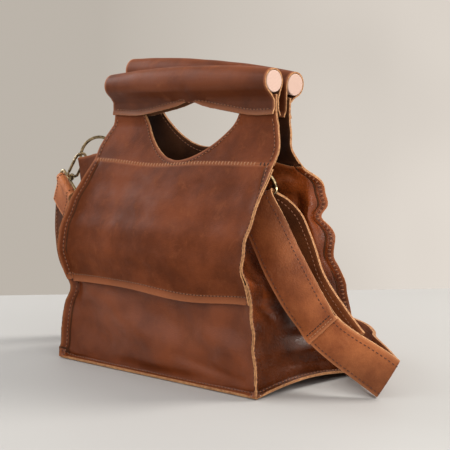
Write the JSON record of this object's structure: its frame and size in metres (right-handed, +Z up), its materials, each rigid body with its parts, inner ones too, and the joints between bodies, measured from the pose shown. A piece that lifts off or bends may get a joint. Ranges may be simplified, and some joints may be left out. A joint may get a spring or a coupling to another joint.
{
  "type": "lunch bag",
  "caption": "Soft leather lunch bag with two dowel carrying handles, folded side gussets, raw-edge seams and a clip-on shoulder strap.",
  "frame": {"origin": "on the floor plane, under the middle of the flat base", "axes": "+Z up, the front panel towards -Y, the two handles along X; the sides called left and right are seen from the front"},
  "size_m": [0.4633, 0.2427, 0.3073],
  "materials": {
    "brown_leather": "soft semi-matte grain",
    "light_leather": "soft semi-matte grain",
    "dark_leather": "matte",
    "pale_wood": "bare sanded",
    "old_brass": "aged satin"
  },
  "bodies": {
    "bag": {"back_lower_panel": "brown_leather", "back_panel": "brown_leather", "base_panel": "brown_leather", "front_lower_panel": "brown_leather", "front_panel": "brown_leather", "left_gusset": "brown_leather", "left_ring_tab": "brown_leather", "right_gusset": "brown_leather", "right_ring_tab": "brown_leather", "strap_lining": "dark_leather", "strap_long_ply": "light_leather", "strap_short_ply": "light_leather"},
    "front_handle": {"front_yoke": "brown_leather", "front_yoke_facing": "dark_leather", "front_handle_sleeve": "light_leather", "front_dowel": "pale_wood"},
    "back_handle": {"back_yoke": "brown_leather", "back_yoke_facing": "dark_leather", "back_handle_sleeve": "light_leather", "back_dowel": "pale_wood"},
    "left_ring": {"left_ring": "old_brass"},
    "left_eye": {"left_eye": "old_brass"},
    "left_hook": {"left_hook": "old_brass"},
    "left_gate": {"left_gate": "old_brass"},
    "right_ring": {"right_ring": "old_brass"},
    "right_eye": {"right_eye": "old_brass"},
    "right_hook": {"right_hook": "old_brass"},
    "right_gate": {"right_gate": "old_brass"}
  },
  "joints": [
    {"name": "front_handle_fold", "type": "hinge", "parent": "bag", "child": "front_handle", "pos_m": [0, -0.0326, 0.204], "axis": [1, 0, 0], "range_deg": [0, 32]},
    {"name": "back_handle_fold", "type": "hinge", "parent": "bag", "child": "back_handle", "pos_m": [0, 0.0156, 0.204], "axis": [-1, 0, 0], "range_deg": [0, 32]},
    {"name": "left_ring_turn", "type": "hinge", "parent": "bag", "child": "left_ring", "pos_m": [-0.15674, -0.00432, 0.19151], "axis": [0.9129, 0.4072, 0.0276], "range_deg": [-6, 0]},
    {"name": "left_eye_turn", "type": "hinge", "parent": "bag", "child": "left_eye", "pos_m": [-0.19882, -0.01363, 0.17243], "axis": [0.8141, -0.2131, -0.5402], "range_deg": [0, 1.5]},
    {"name": "left_hook_swivel", "type": "hinge", "parent": "left_eye", "child": "left_hook", "pos_m": [-0.19882, -0.01363, 0.17243], "axis": [0.5656, 0.0801, 0.8208], "range_deg": [-5, 3]},
    {"name": "left_gate_press", "type": "hinge", "parent": "left_hook", "child": "left_gate", "pos_m": [-0.18825, -0.01821, 0.18911], "axis": [-0.8228, 0.1226, 0.555], "range_deg": [0, 22], "stiffness_Nm_per_rad": 0.02, "springref_deg": -11.46},
    {"name": "right_ring_turn", "type": "hinge", "parent": "bag", "child": "right_ring", "pos_m": [0.07502, -0.00218, 0.16285], "axis": [0.8345, 0.551, 0], "range_deg": [0, 6]},
    {"name": "right_eye_turn", "type": "hinge", "parent": "bag", "child": "right_eye", "pos_m": [0.09612, -0.0218, 0.16922], "axis": [0.8499, 0.3014, 0.4322], "range_deg": [0, 3]},
    {"name": "right_hook_swivel", "type": "hinge", "parent": "right_eye", "child": "right_hook", "pos_m": [0.09612, -0.0218, 0.16922], "axis": [-0.5266, 0.4585, 0.7158], "range_deg": [-12, 12]},
    {"name": "right_gate_press", "type": "hinge", "parent": "right_hook", "child": "right_gate", "pos_m": [0.08358, -0.00909, 0.17881], "axis": [0.7591, 0.6327, 0.1531], "range_deg": [0, 22], "stiffness_Nm_per_rad": 0.02, "springref_deg": -11.46}
  ],
  "couplings": [
    {"joint": "left_eye_turn", "follows": "left_ring_turn", "ratio": -0.25},
    {"joint": "right_eye_turn", "follows": "right_ring_turn", "ratio": 0.5}
  ]
}
